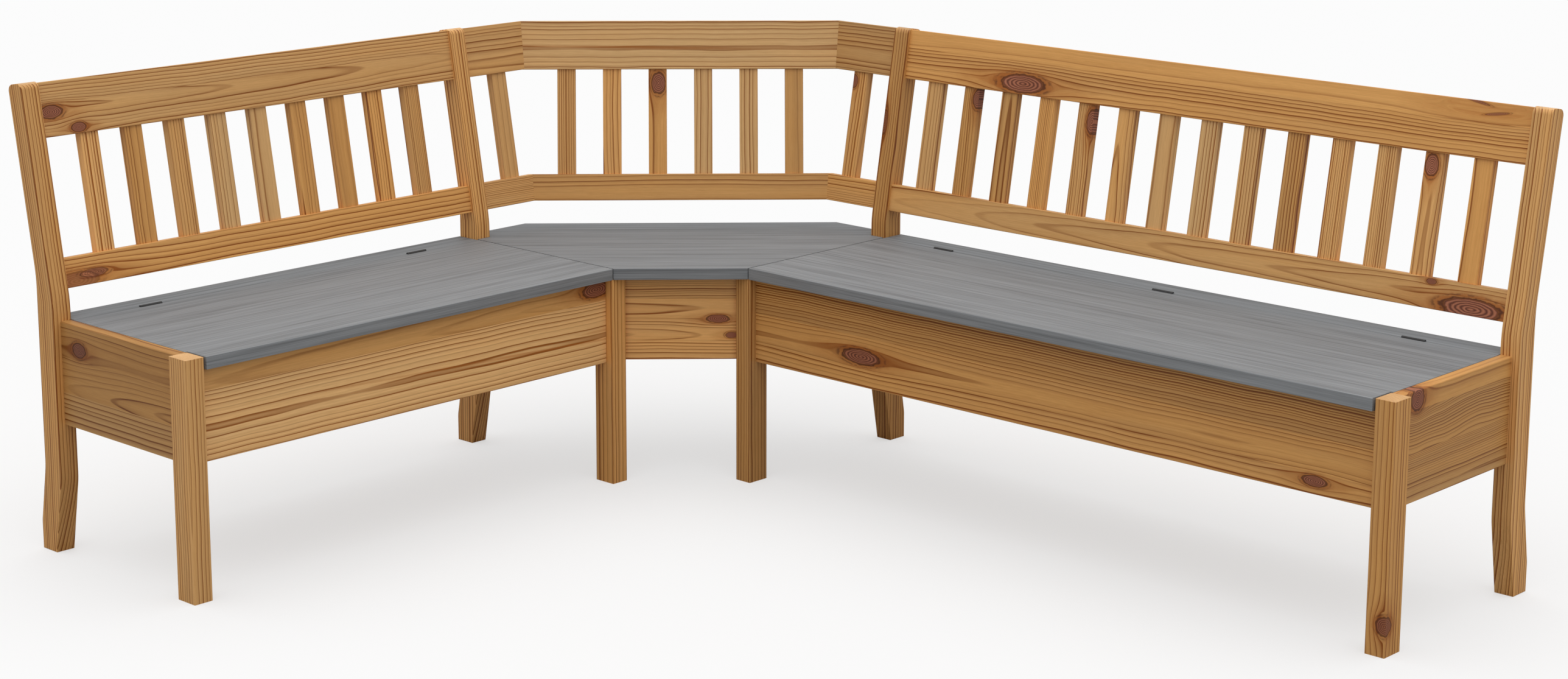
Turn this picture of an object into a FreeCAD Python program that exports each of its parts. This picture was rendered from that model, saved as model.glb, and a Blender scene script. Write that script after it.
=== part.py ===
import FreeCAD, Part
import math
import os

from FreeCAD import Vector

os.makedirs("parts", exist_ok=True)

# A corner bench with two storage boxes. Two wings meet in a corner seat whose rear corner is cut off at
# 45 degrees. Each wing is a box on four legs with a lid hinged behind, and a slatted back leans over it.
#
# Every wing is drawn as a run: x goes along the wing, starting where the rear edges of the two seats would
# cross, depth goes forward from the rear edge of the seat (towards minus y), and z goes up from the floor.
# The right wing stays as drawn, and the left wing is its mirror image with its own length.

# Overall sizes, in millimetres
left_length = 1729.0
right_length = 2201.0
corner_reach = 673.0
seat_depth = 476.5
seat_height = 460.0

# Seat boards
board_thickness = 23.5
joint_gap = 3.0
hinge_line = 60.0
hinge_gap = 0.8
lid_end_inset = 39.5
leg_notch_gap = 4.5
lid_rest_gap = 0.3
strip_end_gap = 1.0
seat_cut = 488.0
board_edge_radius = 1.5

# Front legs
leg_width = 40.0
leg_depth = 51.5
leg_inset = 2.0
inner_face_offset = 3.0
leg_edge_radius = 1.5

# Rear posts: upright to above the seat, then leaning back, with a foot that kicks back
post_width = 40.0
post_depth = 51.5
post_bend_height = 497.0
post_lean_thickness = 43.0
post_length_above_bend = 419.5
lean_angle = 10.07
post_bend_radius = 250.0
post_top_radius = 13.0
foot_front_height = 146.5
foot_rear_height = 169.0
foot_angle = 10.07
foot_heel_offset = 20.0
foot_bend_radius = 150.0
foot_heel_radius = 60.0
post_edge_radius = 1.5

# Panels of the storage boxes
panel_thickness = 22.0
panel_bottom = 258.0
panel_front_setback = 18.0
panel_end_setback = 16.0
panel_edge_radius = 1.5
end_panel_top_radius = 3.0
corner_panel_setback = 38.0

# Floor of each storage box
floor_thickness = 9.0
floor_gap = 1.0
batten_size = 20.0
batten_lift = 4.0
batten_end_gap = 8.0

# Back rails and slats, measured up the leaning back from the bend of the posts
lower_rail_rise = 22.5
lower_rail_width = 58.0
top_rail_rise = 311.0
top_rail_width = 106.0
rail_thickness = 28.0
rail_edge_radius = 1.5
rail_tenon_length = 15.0
rail_tenon_thickness = 12.0
rail_tenon_shoulder = 10.0
slat_width = 40.0
slat_thickness = 18.0
slat_edge_radius = 1.0
slat_tenon_length = 12.0
slat_tenon_thickness = 10.0
slat_tenon_shoulder = 3.0
joinery_clearance = 0.1
left_slat_pitch = 99.4
left_slat_shift = 7.0
right_slat_pitch = 101.0
right_slat_shift = -3.5
corner_slat_pitch = 100.2
short_slat_distance = 91.0
back_cut = 478.0

# Battens under the lids
lid_batten_width = 50.0
lid_batten_thickness = 18.0
lid_batten_front_gap = 12.0
lid_batten_rear_gap = 15.0
lid_batten_end_distance = 260.0

# Butt hinges
left_hinge_count = 2
right_hinge_count = 3
hinge_end_distance = 174.0
hinge_length = 50.0
hinge_knuckles = 5
knuckle_radius = 3.2
knuckle_gap = 0.3
knuckle_clearance = 0.4
pin_radius = 1.5
pin_clearance = 0.05
leaf_height = 20.0
leaf_thickness = 1.5
leaf_gap = 0.3
leaf_clearance = 0.1
leaf_screw_drop = 12.5
leaf_screw_spacing = 17.0
leaf_screw_count = 3

# Screws and dowels
hinge_screw_length = 16.0
hinge_screw_radius = 1.4
hinge_screw_head_radius = 2.6
hinge_screw_head_height = 1.2
wood_screw_length = 30.0
wood_screw_radius = 2.0
wood_screw_head_radius = 3.8
wood_screw_head_height = 2.2
screw_tip = 4.0
screw_slot_width = 0.7
screw_slot_depth = 0.8
screw_clearance = 0.1
screw_spacing = 280.0
screw_end_distance = 45.0
dowel_radius = 4.0
dowel_length = 36.0
dowel_clearance = 0.1
dowel_end_gap = 1.0
front_dowel_heights = (30.0, 120.0)
side_dowel_heights = (50.0, 140.0)
corner_dowel_heights = (75.0, 158.0)

# Values that follow from the sizes above
board_bottom = seat_height - board_thickness
leg_front = seat_depth - leg_inset
leg_rear = leg_front - leg_depth
inner_face = corner_reach + inner_face_offset
inner_side = inner_face - post_width
panel_front = leg_front - panel_front_setback
panel_front_inside = panel_front - panel_thickness
panel_rear = panel_end_setback
panel_rear_inside = panel_rear + panel_thickness
floor_bottom = panel_bottom + batten_lift + batten_size
floor_top = floor_bottom + floor_thickness
rail_inset = (post_lean_thickness - rail_thickness) / 2
slat_inset = (post_lean_thickness - slat_thickness) / 2
slat_bottom = lower_rail_rise + lower_rail_width
slat_top = top_rail_rise
corner_half_back = back_cut / math.sqrt(2)
mitre_turn = 22.5
beyond = 4000.0

origin = Vector(0, 0, 0)
x_axis = Vector(1, 0, 0)
y_axis = Vector(0, 1, 0)
z_axis = Vector(0, 0, 1)


def block(x0, x1, depth0, depth1, z0, z1):
    """A box between two places along the run, two depths from the rear edge and two heights."""
    return Part.makeBox(x1 - x0, depth1 - depth0, z1 - z0, Vector(x0, -depth1, z0))


def runs_along(edge, axis):
    """True for a straight edge parallel to the axis."""
    if not isinstance(edge.Curve, Part.Line):
        return False
    return abs(edge.Curve.Direction.dot(axis)) > 0.999


def ease(solid, radius, axis):
    """Round the long edges that run along the axis."""
    return solid.makeFillet(radius, [edge for edge in solid.Edges if runs_along(edge, axis)])


def ease_at(solid, radius, low, high):
    """Round the edges whose box lies between two corners."""
    margin = 0.01
    chosen = []
    for edge in solid.Edges:
        box = edge.BoundBox
        inside_low = box.XMin > low.x - margin and box.YMin > low.y - margin and box.ZMin > low.z - margin
        inside_high = box.XMax < high.x + margin and box.YMax < high.y + margin and box.ZMax < high.z + margin
        if inside_low and inside_high:
            chosen.append(edge)
    return solid.makeFillet(radius, chosen)


def rounded_face(corners):
    """A face in the plane x = 0 from corners (depth, height, radius), with an arc tangent at each radius."""
    count = len(corners)
    points = [Vector(0, -depth, height) for depth, height, radius in corners]
    starts = []
    middles = []
    ends = []
    for i in range(count):
        radius = corners[i][2]
        before = (points[i - 1] - points[i]).normalize()
        after = (points[(i + 1) % count] - points[i]).normalize()
        half = before.getAngle(after) / 2
        inward = (before + after).normalize()
        reach = radius / math.tan(half)
        starts.append(points[i] + before * reach)
        middles.append(points[i] + inward * (radius / math.sin(half) - radius))
        ends.append(points[i] + after * reach)
    edges = []
    for i in range(count):
        if corners[i][2] > 0:
            edges.append(Part.Arc(starts[i], middles[i], ends[i]).toShape())
        edges.append(Part.LineSegment(ends[i], starts[(i + 1) % count]).toShape())
    return Part.Face(Part.Wire(edges))


def prism(plan, z0, z1):
    """A solid with the plan given as (x, y) corners, between two heights."""
    corners = [Vector(x, y, z0) for x, y in plan]
    face = Part.Face(Part.makePolygon(corners + corners[:1]))
    return face.extrude(Vector(0, 0, z1 - z0))


def lean(shape):
    """Carry a shape from the upright back frame to the leaning one, which starts at the bend of the posts.

    In the upright frame y goes rearward from the front of the posts and z goes up along the back.
    """
    turned = shape.copy()
    turned.rotate(origin, x_axis, -lean_angle)
    turned.translate(Vector(0, -post_depth, post_bend_height))
    return turned


def back_block(x0, x1, inset, thickness, rise, height):
    """A box in the upright back frame."""
    return Part.makeBox(x1 - x0, thickness, height, Vector(x0, inset, rise))


def far_side(x, turn):
    """The space beyond an upright plane through (x, 0) whose normal is turned from the x axis."""
    space = Part.makeBox(beyond, 2 * beyond, 2 * beyond, Vector(0, -beyond, -beyond))
    space.rotate(origin, z_axis, turn)
    space.translate(Vector(x, 0, 0))
    return space


def to_left(shape):
    """Mirror a right-hand shape across the upright plane that halves the corner."""
    return shape.mirror(origin, Vector(1, 1, 0))


def to_diagonal(shape):
    """Turn a run shape by 45 degrees, so that it stands behind the corner seat."""
    turned = shape.copy()
    turned.rotate(origin, z_axis, 45)
    turned.translate(Vector(corner_half_back / math.sqrt(2), -corner_half_back / math.sqrt(2), 0))
    return turned


def spread(first, last, count):
    """Evenly spaced places from first to last."""
    if count < 2:
        return [(first + last) / 2]
    return [first + (last - first) * i / (count - 1) for i in range(count)]


def screw_places(first, last):
    """Places of screws along a batten, spaced near the usual spacing."""
    start = first + screw_end_distance
    end = last - screw_end_distance
    return spread(start, end, max(2, 1 + round((end - start) / screw_spacing)))


# Fasteners


def screw_body(length, radius, head_radius, head_height, extra):
    """A countersunk screw that points down from a flat head, or with extra its hole."""
    profile = [
        Vector(0, 0, 0),
        Vector(head_radius + extra, 0, 0),
        Vector(radius + extra, 0, -head_height - extra),
        Vector(radius + extra, 0, -length + screw_tip - extra),
        Vector(0, 0, -length - 2 * extra),
    ]
    return Part.Face(Part.makePolygon(profile + profile[:1])).revolve(origin, z_axis, 360)


def make_screw(length, radius, head_radius, head_height):
    """A countersunk screw with a cross in its head."""
    screw = screw_body(length, radius, head_radius, head_height, 0)
    half = head_radius * 0.6
    bar = Part.makeBox(2 * half, screw_slot_width, screw_slot_depth)
    bar.translate(Vector(-half, -screw_slot_width / 2, -screw_slot_depth))
    cross = bar.copy()
    cross.rotate(origin, z_axis, 90)
    return screw.cut([bar, cross])


def aim(shape, point, direction):
    """Place a fastener drawn pointing down so that its head lies at a point and it points along a direction."""
    placed = shape.copy()
    placed.Placement = FreeCAD.Placement(point, FreeCAD.Rotation(Vector(0, 0, -1), direction))
    return placed


wood_sizes = (wood_screw_length, wood_screw_radius, wood_screw_head_radius, wood_screw_head_height)
hinge_sizes = (hinge_screw_length, hinge_screw_radius, hinge_screw_head_radius, hinge_screw_head_height)
wood_screw = make_screw(*wood_sizes)
wood_screw_hole = screw_body(*wood_sizes, screw_clearance)
hinge_screw = make_screw(*hinge_sizes)
hinge_screw_hole = screw_body(*hinge_sizes, screw_clearance)


def dowel_at(point, direction, extra_radius, extra_length):
    """A dowel centred on a joint face, or with the extras its hole."""
    length = dowel_length + 2 * extra_length
    start = point - direction * (length / 2)
    return Part.makeCylinder(dowel_radius + extra_radius, length, start, direction)


def dowel_pair(point, direction, heights):
    """The dowels of one panel end and their holes, at heights above the panel's lower edge."""
    pins = []
    holes = []
    for height in heights:
        place = Vector(point.x, point.y, panel_bottom + height)
        pins.append(dowel_at(place, direction, 0, 0))
        holes.append(dowel_at(place, direction, dowel_clearance, dowel_end_gap))
    return pins, holes


# Posts and legs


def post(x0):
    """A rear post: the side outline carried across its width, with its edges eased."""
    slope = math.radians(lean_angle)
    foot_slope = math.tan(math.radians(foot_angle))
    front_top = (
        post_depth - post_length_above_bend * math.sin(slope),
        post_bend_height + post_length_above_bend * math.cos(slope),
    )
    rear_top = (
        front_top[0] - post_lean_thickness * math.cos(slope),
        front_top[1] - post_lean_thickness * math.sin(slope),
    )
    rear_bend_rise = (post_depth - post_lean_thickness * math.cos(slope)) / math.sin(slope)
    rear_bend_height = (
        post_bend_height + rear_bend_rise * math.cos(slope) - post_lean_thickness * math.sin(slope)
    )
    outline = [
        (post_depth - foot_front_height * foot_slope, 0, 0),
        (post_depth, foot_front_height, foot_bend_radius),
        (post_depth, post_bend_height, post_bend_radius),
        (front_top[0], front_top[1], post_top_radius),
        (rear_top[0], rear_top[1], post_top_radius),
        (0, rear_bend_height, post_bend_radius),
        (0, foot_rear_height, foot_bend_radius),
        (-foot_heel_offset, foot_rear_height - foot_heel_offset / foot_slope, foot_heel_radius),
        (-foot_heel_offset, 0, 0),
    ]
    solid = rounded_face(outline).extrude(Vector(post_width, 0, 0))
    side_edges = []
    for edge in solid.Edges:
        box = edge.BoundBox
        if box.XMax - box.XMin < 0.01:
            side_edges.append(edge)
    solid = solid.makeFillet(post_edge_radius, side_edges)
    solid.translate(Vector(x0, 0, 0))
    return solid


def tenon_block(x0, x1, rise, width, extra):
    """The tenon of a rail between two places, or with extra its mortise."""
    return back_block(
        x0 - extra,
        x1 + extra,
        rail_inset + (rail_thickness - rail_tenon_thickness) / 2 - extra,
        rail_tenon_thickness + 2 * extra,
        rise + rail_tenon_shoulder - extra,
        width - 2 * rail_tenon_shoulder + 2 * extra,
    )


def post_mortises(x0, x1):
    """Mortises for both rails between two places along the run."""
    lower = tenon_block(x0, x1, lower_rail_rise, lower_rail_width, joinery_clearance)
    upper = tenon_block(x0, x1, top_rail_rise, top_rail_width, joinery_clearance)
    return [lean(lower), lean(upper)]


def leg(x0, top):
    """A front leg: a straight square-edged pole with eased corners."""
    solid = block(x0, x0 + leg_width, leg_rear, leg_front, 0, top)
    return ease(solid, leg_edge_radius, z_axis)


# Rails and slats of the back


def slat_centres(x0, x1, pitch, shift):
    """Centres of the slats between two places, at an even pitch about the middle plus a shift."""
    count = max(1, round((x1 - x0) / pitch) - 1)
    middle = (x0 + x1) / 2 + shift
    return [middle + (i - (count - 1) / 2) * pitch for i in range(count)]


def slat(centre):
    """A slat with a stub tenon at each end, in the upright back frame."""
    half = slat_width / 2
    height = slat_top - slat_bottom
    body = back_block(centre - half, centre + half, slat_inset, slat_thickness, slat_bottom, height)
    body = ease(body, slat_edge_radius, z_axis)
    return body.fuse([slat_tenon(centre, slat_bottom, 0), slat_tenon(centre, slat_top, 0)])


def slat_tenon(centre, shoulder, extra):
    """A tenon through the shoulder line of a slat, or with extra its mortise."""
    half = slat_width / 2 - slat_tenon_shoulder + extra
    return back_block(
        centre - half,
        centre + half,
        slat_inset + (slat_thickness - slat_tenon_thickness) / 2 - extra,
        slat_tenon_thickness + 2 * extra,
        shoulder - slat_tenon_length - extra,
        2 * slat_tenon_length + 2 * extra,
    )


def rail(x0, x1, rise, width, centres, shoulder, tenon_before, tenon_after):
    """A rail in the upright back frame, mortised for the slats and tenoned where it meets a post."""
    solid = back_block(x0, x1, rail_inset, rail_thickness, rise, width)
    solid = ease(solid, rail_edge_radius, x_axis)
    if tenon_before:
        solid = solid.fuse(tenon_block(x0 - rail_tenon_length, x0, rise, width, 0))
    if tenon_after:
        solid = solid.fuse(tenon_block(x1, x1 + rail_tenon_length, rise, width, 0))
    return solid.cut([slat_tenon(centre, shoulder, joinery_clearance) for centre in centres])


def rail_pair(x0, x1, centres, tenon_before, tenon_after):
    """The top rail and the lower rail of one stretch of the back."""
    ends = (tenon_before, tenon_after)
    upper = rail(x0, x1, top_rail_rise, top_rail_width, centres, slat_top, *ends)
    lower = rail(x0, x1, lower_rail_rise, lower_rail_width, centres, slat_bottom, *ends)
    return upper, lower


# Hinges, drawn about a pin along x at the height of the seat's upper face


def knuckle_spans():
    """Start and end of each knuckle along the pin."""
    pitch = hinge_length / hinge_knuckles
    first = -hinge_length / 2
    return [(first + i * pitch, first + (i + 1) * pitch) for i in range(hinge_knuckles)]


def rod(radius, x0, x1):
    """A round bar along x."""
    return Part.makeCylinder(radius, x1 - x0, Vector(x0, 0, 0), x_axis)


def leaf(side, first_knuckle, bore):
    """A hinge leaf that hangs down beside the pin, with every second knuckle.

    The side is 1 for the leaf behind the pin and -1 for the leaf in front of it.
    """
    near = leaf_gap / 2
    plate = Part.makeBox(hinge_length, leaf_thickness, leaf_height)
    plate.translate(Vector(-hinge_length / 2, near if side > 0 else -near - leaf_thickness, -leaf_height))
    spans = knuckle_spans()
    own = [rod(knuckle_radius, x0 + knuckle_gap / 2, x1 - knuckle_gap / 2) for x0, x1 in spans[first_knuckle::2]]
    others = spans[1 - first_knuckle::2]
    room = [rod(knuckle_radius + knuckle_gap, x0 - knuckle_gap / 2, x1 + knuckle_gap / 2) for x0, x1 in others]
    solid = plate.cut(room).fuse(own)
    solid = solid.cut(rod(bore, -hinge_length, hinge_length))
    return solid.cut([aim(hinge_screw_hole, p, d) for p, d in leaf_screws(side)])


def leaf_screws(side):
    """Head point and direction of each screw of a leaf."""
    reach = leaf_screw_spacing * (leaf_screw_count - 1) / 2
    places = spread(-reach, reach, leaf_screw_count)
    return [(Vector(x, side * leaf_gap / 2, -leaf_screw_drop), Vector(0, side, 0)) for x in places]


def hinge_recess():
    """The slot in the boards that takes the knuckles and both leaves."""
    length = hinge_length + 2 * leaf_clearance
    barrel = rod(knuckle_radius + knuckle_clearance, -length / 2, length / 2)
    half = leaf_gap / 2 + leaf_thickness + leaf_clearance
    drop = leaf_height + leaf_clearance
    pocket = Part.makeBox(length, 2 * half, drop, Vector(-length / 2, -half, -drop))
    return barrel.fuse(pocket)


def move_to_hinge(shape, x):
    """Carry a shape drawn about the pin to a hinge of a wing."""
    moved = shape.copy()
    moved.translate(Vector(x, -hinge_line, seat_height))
    return moved


# One wing


def make_wing(length, pitch, shift, hinge_count):
    """All pieces of a right-hand wing of the given length, by name, and its shared fasteners."""
    end_inner = length - post_width
    lid_start = corner_reach + joint_gap / 2
    lid_end = length - lid_end_inset
    end_panel_outside = length - panel_end_setback
    end_panel_inside = end_panel_outside - panel_thickness
    inner_panel_outside = inner_face - panel_end_setback
    inner_panel_inside = inner_panel_outside - panel_thickness
    panel_top = board_bottom - lid_rest_gap
    pieces = {}

    # Dowels of the panels
    front_middle = -(panel_front + panel_front_inside) / 2
    rear_middle = -(panel_rear + panel_rear_inside) / 2
    end_middle = (end_panel_outside + end_panel_inside) / 2
    inner_middle = (inner_panel_outside + inner_panel_inside) / 2
    joints = [
        (Vector(inner_face, front_middle, 0), x_axis, front_dowel_heights),
        (Vector(length - leg_width, front_middle, 0), x_axis, front_dowel_heights),
        (Vector(inner_face, rear_middle, 0), x_axis, front_dowel_heights),
        (Vector(end_inner, rear_middle, 0), x_axis, front_dowel_heights),
        (Vector(end_middle, -post_depth, 0), y_axis, side_dowel_heights),
        (Vector(end_middle, -leg_rear, 0), y_axis, side_dowel_heights),
        (Vector(inner_middle, -post_depth, 0), y_axis, side_dowel_heights),
        (Vector(inner_middle, -leg_rear, 0), y_axis, side_dowel_heights),
    ]
    dowels = []
    dowel_holes = []
    for point, direction, heights in joints:
        pins, holes = dowel_pair(point, direction, heights)
        dowels += pins
        dowel_holes += holes

    # Back
    centres = slat_centres(inner_face, end_inner, pitch, shift)
    upper, lower = rail_pair(inner_face, end_inner, centres, True, True)
    pieces["top_rail"] = lean(upper)
    pieces["lower_rail"] = lean(lower)
    pieces["slats"] = [lean(slat(centre)) for centre in centres]

    # Posts and legs
    tenon = rail_tenon_length
    wing_mortises = post_mortises(inner_face - tenon, inner_face) + post_mortises(end_inner, end_inner + tenon)
    corner_mortises = post_mortises(inner_side, inner_side + tenon)
    pieces["end_post"] = post(end_inner).cut(wing_mortises + dowel_holes)
    pieces["inner_post"] = post(inner_side).cut(wing_mortises + corner_mortises + dowel_holes)
    end_leg = leg(length - leg_width, seat_height)
    pieces["end_leg"] = end_leg.cut(dowel_holes)
    corner_pins, corner_holes = corner_panel_dowels()
    pieces["inner_leg"] = leg(inner_face - leg_width, board_bottom).cut(dowel_holes + corner_holes)

    # Battens that carry the floor, with the screws that hold them
    batten_bottom = panel_bottom + batten_lift
    batten_top = floor_bottom
    long_start = inner_face + batten_end_gap
    long_end = end_inner - batten_end_gap
    short_start = post_depth + batten_end_gap
    short_end = leg_rear - batten_end_gap
    front_batten_rear = panel_front_inside - batten_size
    rear_batten_front = panel_rear_inside + batten_size
    end_batten_inside = end_panel_inside - batten_size
    inner_batten_inside = inner_panel_outside + batten_size
    battens = [
        block(long_start, long_end, front_batten_rear, panel_front_inside, batten_bottom, batten_top),
        block(long_start, long_end, panel_rear_inside, rear_batten_front, batten_bottom, batten_top),
        block(end_batten_inside, end_panel_inside, short_start, short_end, batten_bottom, batten_top),
        block(inner_panel_outside, inner_batten_inside, short_start, short_end, batten_bottom, batten_top),
    ]
    battens[2] = battens[2].cut(battens[0]).cut(battens[1])
    battens[3] = battens[3].cut(battens[0]).cut(battens[1])
    middle_height = (batten_bottom + batten_top) / 2
    screws = []
    for x in screw_places(long_start, long_end):
        screws.append((Vector(x, -front_batten_rear, middle_height), Vector(0, -1, 0)))
        screws.append((Vector(x, -rear_batten_front, middle_height), Vector(0, 1, 0)))
    for depth in screw_places(short_start + batten_size, short_end - batten_size):
        screws.append((Vector(end_batten_inside, -depth, middle_height), Vector(1, 0, 0)))
        screws.append((Vector(inner_batten_inside, -depth, middle_height), Vector(-1, 0, 0)))

    # Cleat under the rear strip
    cleat_start = inner_face + batten_end_gap
    cleat_end = end_inner - batten_end_gap
    cleat_bottom = board_bottom - batten_size
    cleat_front = panel_rear_inside + batten_size
    cleat = block(cleat_start, cleat_end, panel_rear_inside, cleat_front, cleat_bottom, board_bottom)
    cleat_middle = panel_rear_inside + batten_size / 2
    cleat_height = cleat_bottom + batten_size / 2
    for x in screw_places(cleat_start, cleat_end):
        screws.append((Vector(x, -cleat_front, cleat_height), Vector(0, 1, 0)))
    for x in screw_places(cleat_start + screw_end_distance, cleat_end - screw_end_distance):
        screws.append((Vector(x, -cleat_middle, cleat_bottom), Vector(0, 0, 1)))
    screw_solids = [aim(wood_screw, point, direction) for point, direction in screws]
    screw_holes = [aim(wood_screw_hole, point, direction) for point, direction in screws]
    pieces["floor_battens"] = [batten.cut(screw_holes) for batten in battens]
    pieces["strip_cleat"] = cleat.cut(screw_holes)

    # Panels
    panel_holes = dowel_holes + screw_holes
    front_panel = block(inner_face, end_inner, panel_front_inside, panel_front, panel_bottom, panel_top)
    pieces["front_panel"] = ease(front_panel, panel_edge_radius, x_axis).cut(panel_holes)
    back_panel = block(inner_face, end_inner, panel_rear, panel_rear_inside, panel_bottom, board_bottom)
    pieces["back_panel"] = ease(back_panel, panel_edge_radius, x_axis).cut(panel_holes)
    end_panel = block(end_panel_inside, end_panel_outside, post_depth, leg_rear, panel_bottom, seat_height)
    low = Vector(end_panel_outside, -leg_rear, seat_height)
    high = Vector(end_panel_outside, -post_depth, seat_height)
    end_panel = ease_at(end_panel, end_panel_top_radius, low, high)
    pieces["end_panel"] = end_panel.cut(panel_holes)
    inner_panel = block(inner_panel_inside, inner_panel_outside, post_depth, leg_rear, panel_bottom, board_bottom)
    pieces["inner_panel"] = inner_panel.cut(panel_holes + corner_cleat_holes())

    # Floor, notched round the legs and posts
    floor = block(
        inner_panel_outside + floor_gap,
        end_panel_inside - floor_gap,
        panel_rear_inside + floor_gap,
        panel_front_inside - floor_gap,
        floor_bottom,
        floor_top,
    )
    notch_start = inner_face + floor_gap
    notch_end = end_inner - floor_gap
    rear_notch = post_depth + floor_gap
    front_notch = leg_rear - floor_gap
    notches = [
        block(0, notch_start, 0, rear_notch, 0, seat_height),
        block(0, notch_start, front_notch, seat_depth, 0, seat_height),
        block(notch_end, length, 0, rear_notch, 0, seat_height),
        block(notch_end, length, front_notch, seat_depth, 0, seat_height),
    ]
    pieces["floor"] = floor.cut(notches)

    # Hinges
    hinge_places = spread(lid_start + hinge_end_distance, end_inner - hinge_end_distance, hinge_count)
    fixed_leaf = leaf(1, 0, pin_radius)
    lid_leaf = leaf(-1, 1, pin_radius + pin_clearance)
    pin = rod(pin_radius, -hinge_length / 2, hinge_length / 2)
    recess = hinge_recess()
    recesses = [move_to_hinge(recess, x) for x in hinge_places]
    fixed_holes = []
    lid_holes = []
    fixed_screws = []
    pieces["hinge_lid_screws"] = []
    for x in hinge_places:
        for point, direction in leaf_screws(1):
            fixed_screws.append(move_to_hinge(aim(hinge_screw, point, direction), x))
            fixed_holes.append(move_to_hinge(aim(hinge_screw_hole, point, direction), x))
        for point, direction in leaf_screws(-1):
            pieces["hinge_lid_screws"].append(move_to_hinge(aim(hinge_screw, point, direction), x))
            lid_holes.append(move_to_hinge(aim(hinge_screw_hole, point, direction), x))
    pieces["hinge_lid_leaves"] = [move_to_hinge(lid_leaf, x) for x in hinge_places]

    # Rear strip behind the hinge line
    strip_front = hinge_line - hinge_gap / 2
    strip_start = inner_face + strip_end_gap
    strip_end = end_inner - strip_end_gap
    strip = block(strip_start, strip_end, 0, strip_front, board_bottom, seat_height)
    pieces["rear_strip"] = strip.cut(recesses + fixed_holes + screw_holes)

    # Lid with its notch beside the end leg, and the battens under it
    lid_rear = hinge_line + hinge_gap / 2
    lid = block(lid_start, lid_end, lid_rear, seat_depth, board_bottom, seat_height)
    notch = block(
        length - leg_width - leg_notch_gap, length, leg_rear - leg_notch_gap, seat_depth + 1, 0, seat_height + 1
    )
    lid = lid.cut(notch)
    low = Vector(0, -seat_depth, seat_height)
    high = Vector(length, -seat_depth, seat_height)
    lid = ease_at(lid, board_edge_radius, low, high)
    batten_count = max(2, hinge_count)
    half_batten = lid_batten_width / 2
    batten_rear = lid_rear + lid_batten_rear_gap
    batten_front = panel_front_inside - lid_batten_front_gap
    batten_low = board_bottom - lid_batten_thickness
    lid_battens = []
    batten_screws = []
    batten_holes = []
    first = lid_start + lid_batten_end_distance
    last = lid_end - lid_batten_end_distance
    for x in spread(first, last, batten_count):
        batten = block(x - half_batten, x + half_batten, batten_rear, batten_front, batten_low, board_bottom)
        lid_battens.append(ease(batten, panel_edge_radius, y_axis))
        for depth in spread(batten_rear + screw_end_distance, batten_front - screw_end_distance, 3):
            point = Vector(x, -depth, batten_low)
            batten_screws.append(aim(wood_screw, point, Vector(0, 0, 1)))
            batten_holes.append(aim(wood_screw_hole, point, Vector(0, 0, 1)))
    pieces["lid"] = lid.cut(recesses + lid_holes + batten_holes)
    pieces["lid_battens"] = [batten.cut(batten_holes) for batten in lid_battens]
    pieces["lid_batten_screws"] = batten_screws

    shared = {
        "panel_dowels": dowels,
        "frame_screws": screw_solids,
        "hinge_fixed_leaves": [move_to_hinge(fixed_leaf, x) for x in hinge_places],
        "hinge_fixed_screws": fixed_screws,
        "hinge_pins": [move_to_hinge(pin, x) for x in hinge_places],
    }
    return pieces, shared


# The corner, drawn in the right-hand wing's coordinates


def corner_panel_faces():
    """How far the front and rear faces of the corner panel lie from the crossing, along the diagonal."""
    seat_front = (seat_depth + corner_reach - joint_gap / 2) / math.sqrt(2)
    front = seat_front - corner_panel_setback
    return front, front - panel_thickness


def corner_panel_dowels():
    """The dowels that join the corner panel to the right inner leg, and their holes."""
    front, rear = corner_panel_faces()
    across = (front + rear) / 2 * math.sqrt(2)
    point = Vector(inner_side, inner_side - across, 0)
    direction = Vector(1, 1, 0).normalize()
    return dowel_pair(point, direction, corner_dowel_heights)


def corner_cleat():
    """The cleat on the corner side of the right inner panel."""
    inside = inner_face - panel_end_setback - panel_thickness
    start = post_depth + batten_end_gap
    end = leg_rear - batten_end_gap
    return block(inside - batten_size, inside, start, end, board_bottom - batten_size, board_bottom)


def corner_cleat_screws():
    """Head point and direction of the screws of the right corner cleat."""
    box = corner_cleat().BoundBox
    middle_height = (box.ZMin + box.ZMax) / 2
    middle_x = (box.XMin + box.XMax) / 2
    screws = []
    for y in screw_places(box.YMin, box.YMax):
        screws.append((Vector(box.XMin, y, middle_height), Vector(1, 0, 0)))
    for y in screw_places(box.YMin + screw_end_distance, box.YMax - screw_end_distance):
        screws.append((Vector(middle_x, y, box.ZMin), Vector(0, 0, 1)))
    return screws


def corner_cleat_holes():
    """Holes of the screws of the right corner cleat."""
    return [aim(wood_screw_hole, point, direction) for point, direction in corner_cleat_screws()]


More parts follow.
